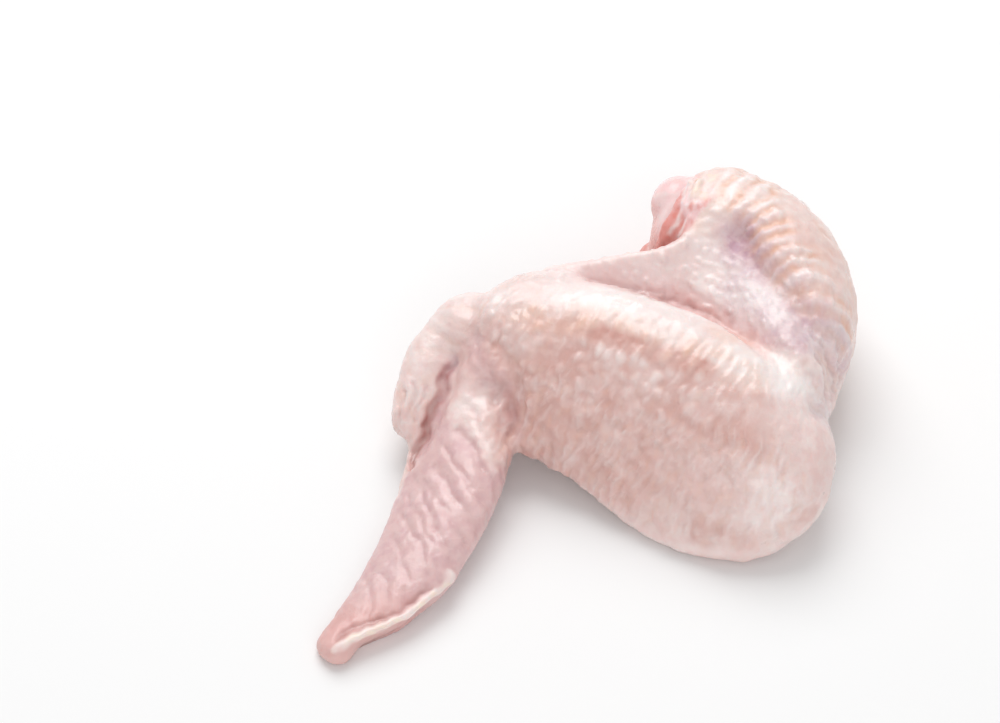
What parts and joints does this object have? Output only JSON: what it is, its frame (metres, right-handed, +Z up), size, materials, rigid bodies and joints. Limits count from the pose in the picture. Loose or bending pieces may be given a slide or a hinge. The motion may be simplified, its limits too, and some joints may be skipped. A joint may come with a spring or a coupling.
{
  "type": "raw chicken wing",
  "caption": "Whole raw chicken wing with skin on, lying folded: drumette, flat, pointed tip and thumb, with flesh showing at the shoulder cut.",
  "frame": {"origin": "middle of the footprint, on the surface that the wing lies on", "axes": "+Z up from the surface; +X from the wing's tip side towards its elbow; +Y from the front, where the tip points, to the back, where the shoulder cut is"},
  "size_m": [0.1112, 0.1164, 0.0354],
  "materials": {
    "skin": "moist raw poultry skin, pale pink to cream, with follicle bumps",
    "flesh": "wet raw flesh, smooth and pink"
  },
  "bodies": {
    "root": {"wing": "skin", "shoulder_flesh": "flesh"}
  },
  "joints": []
}
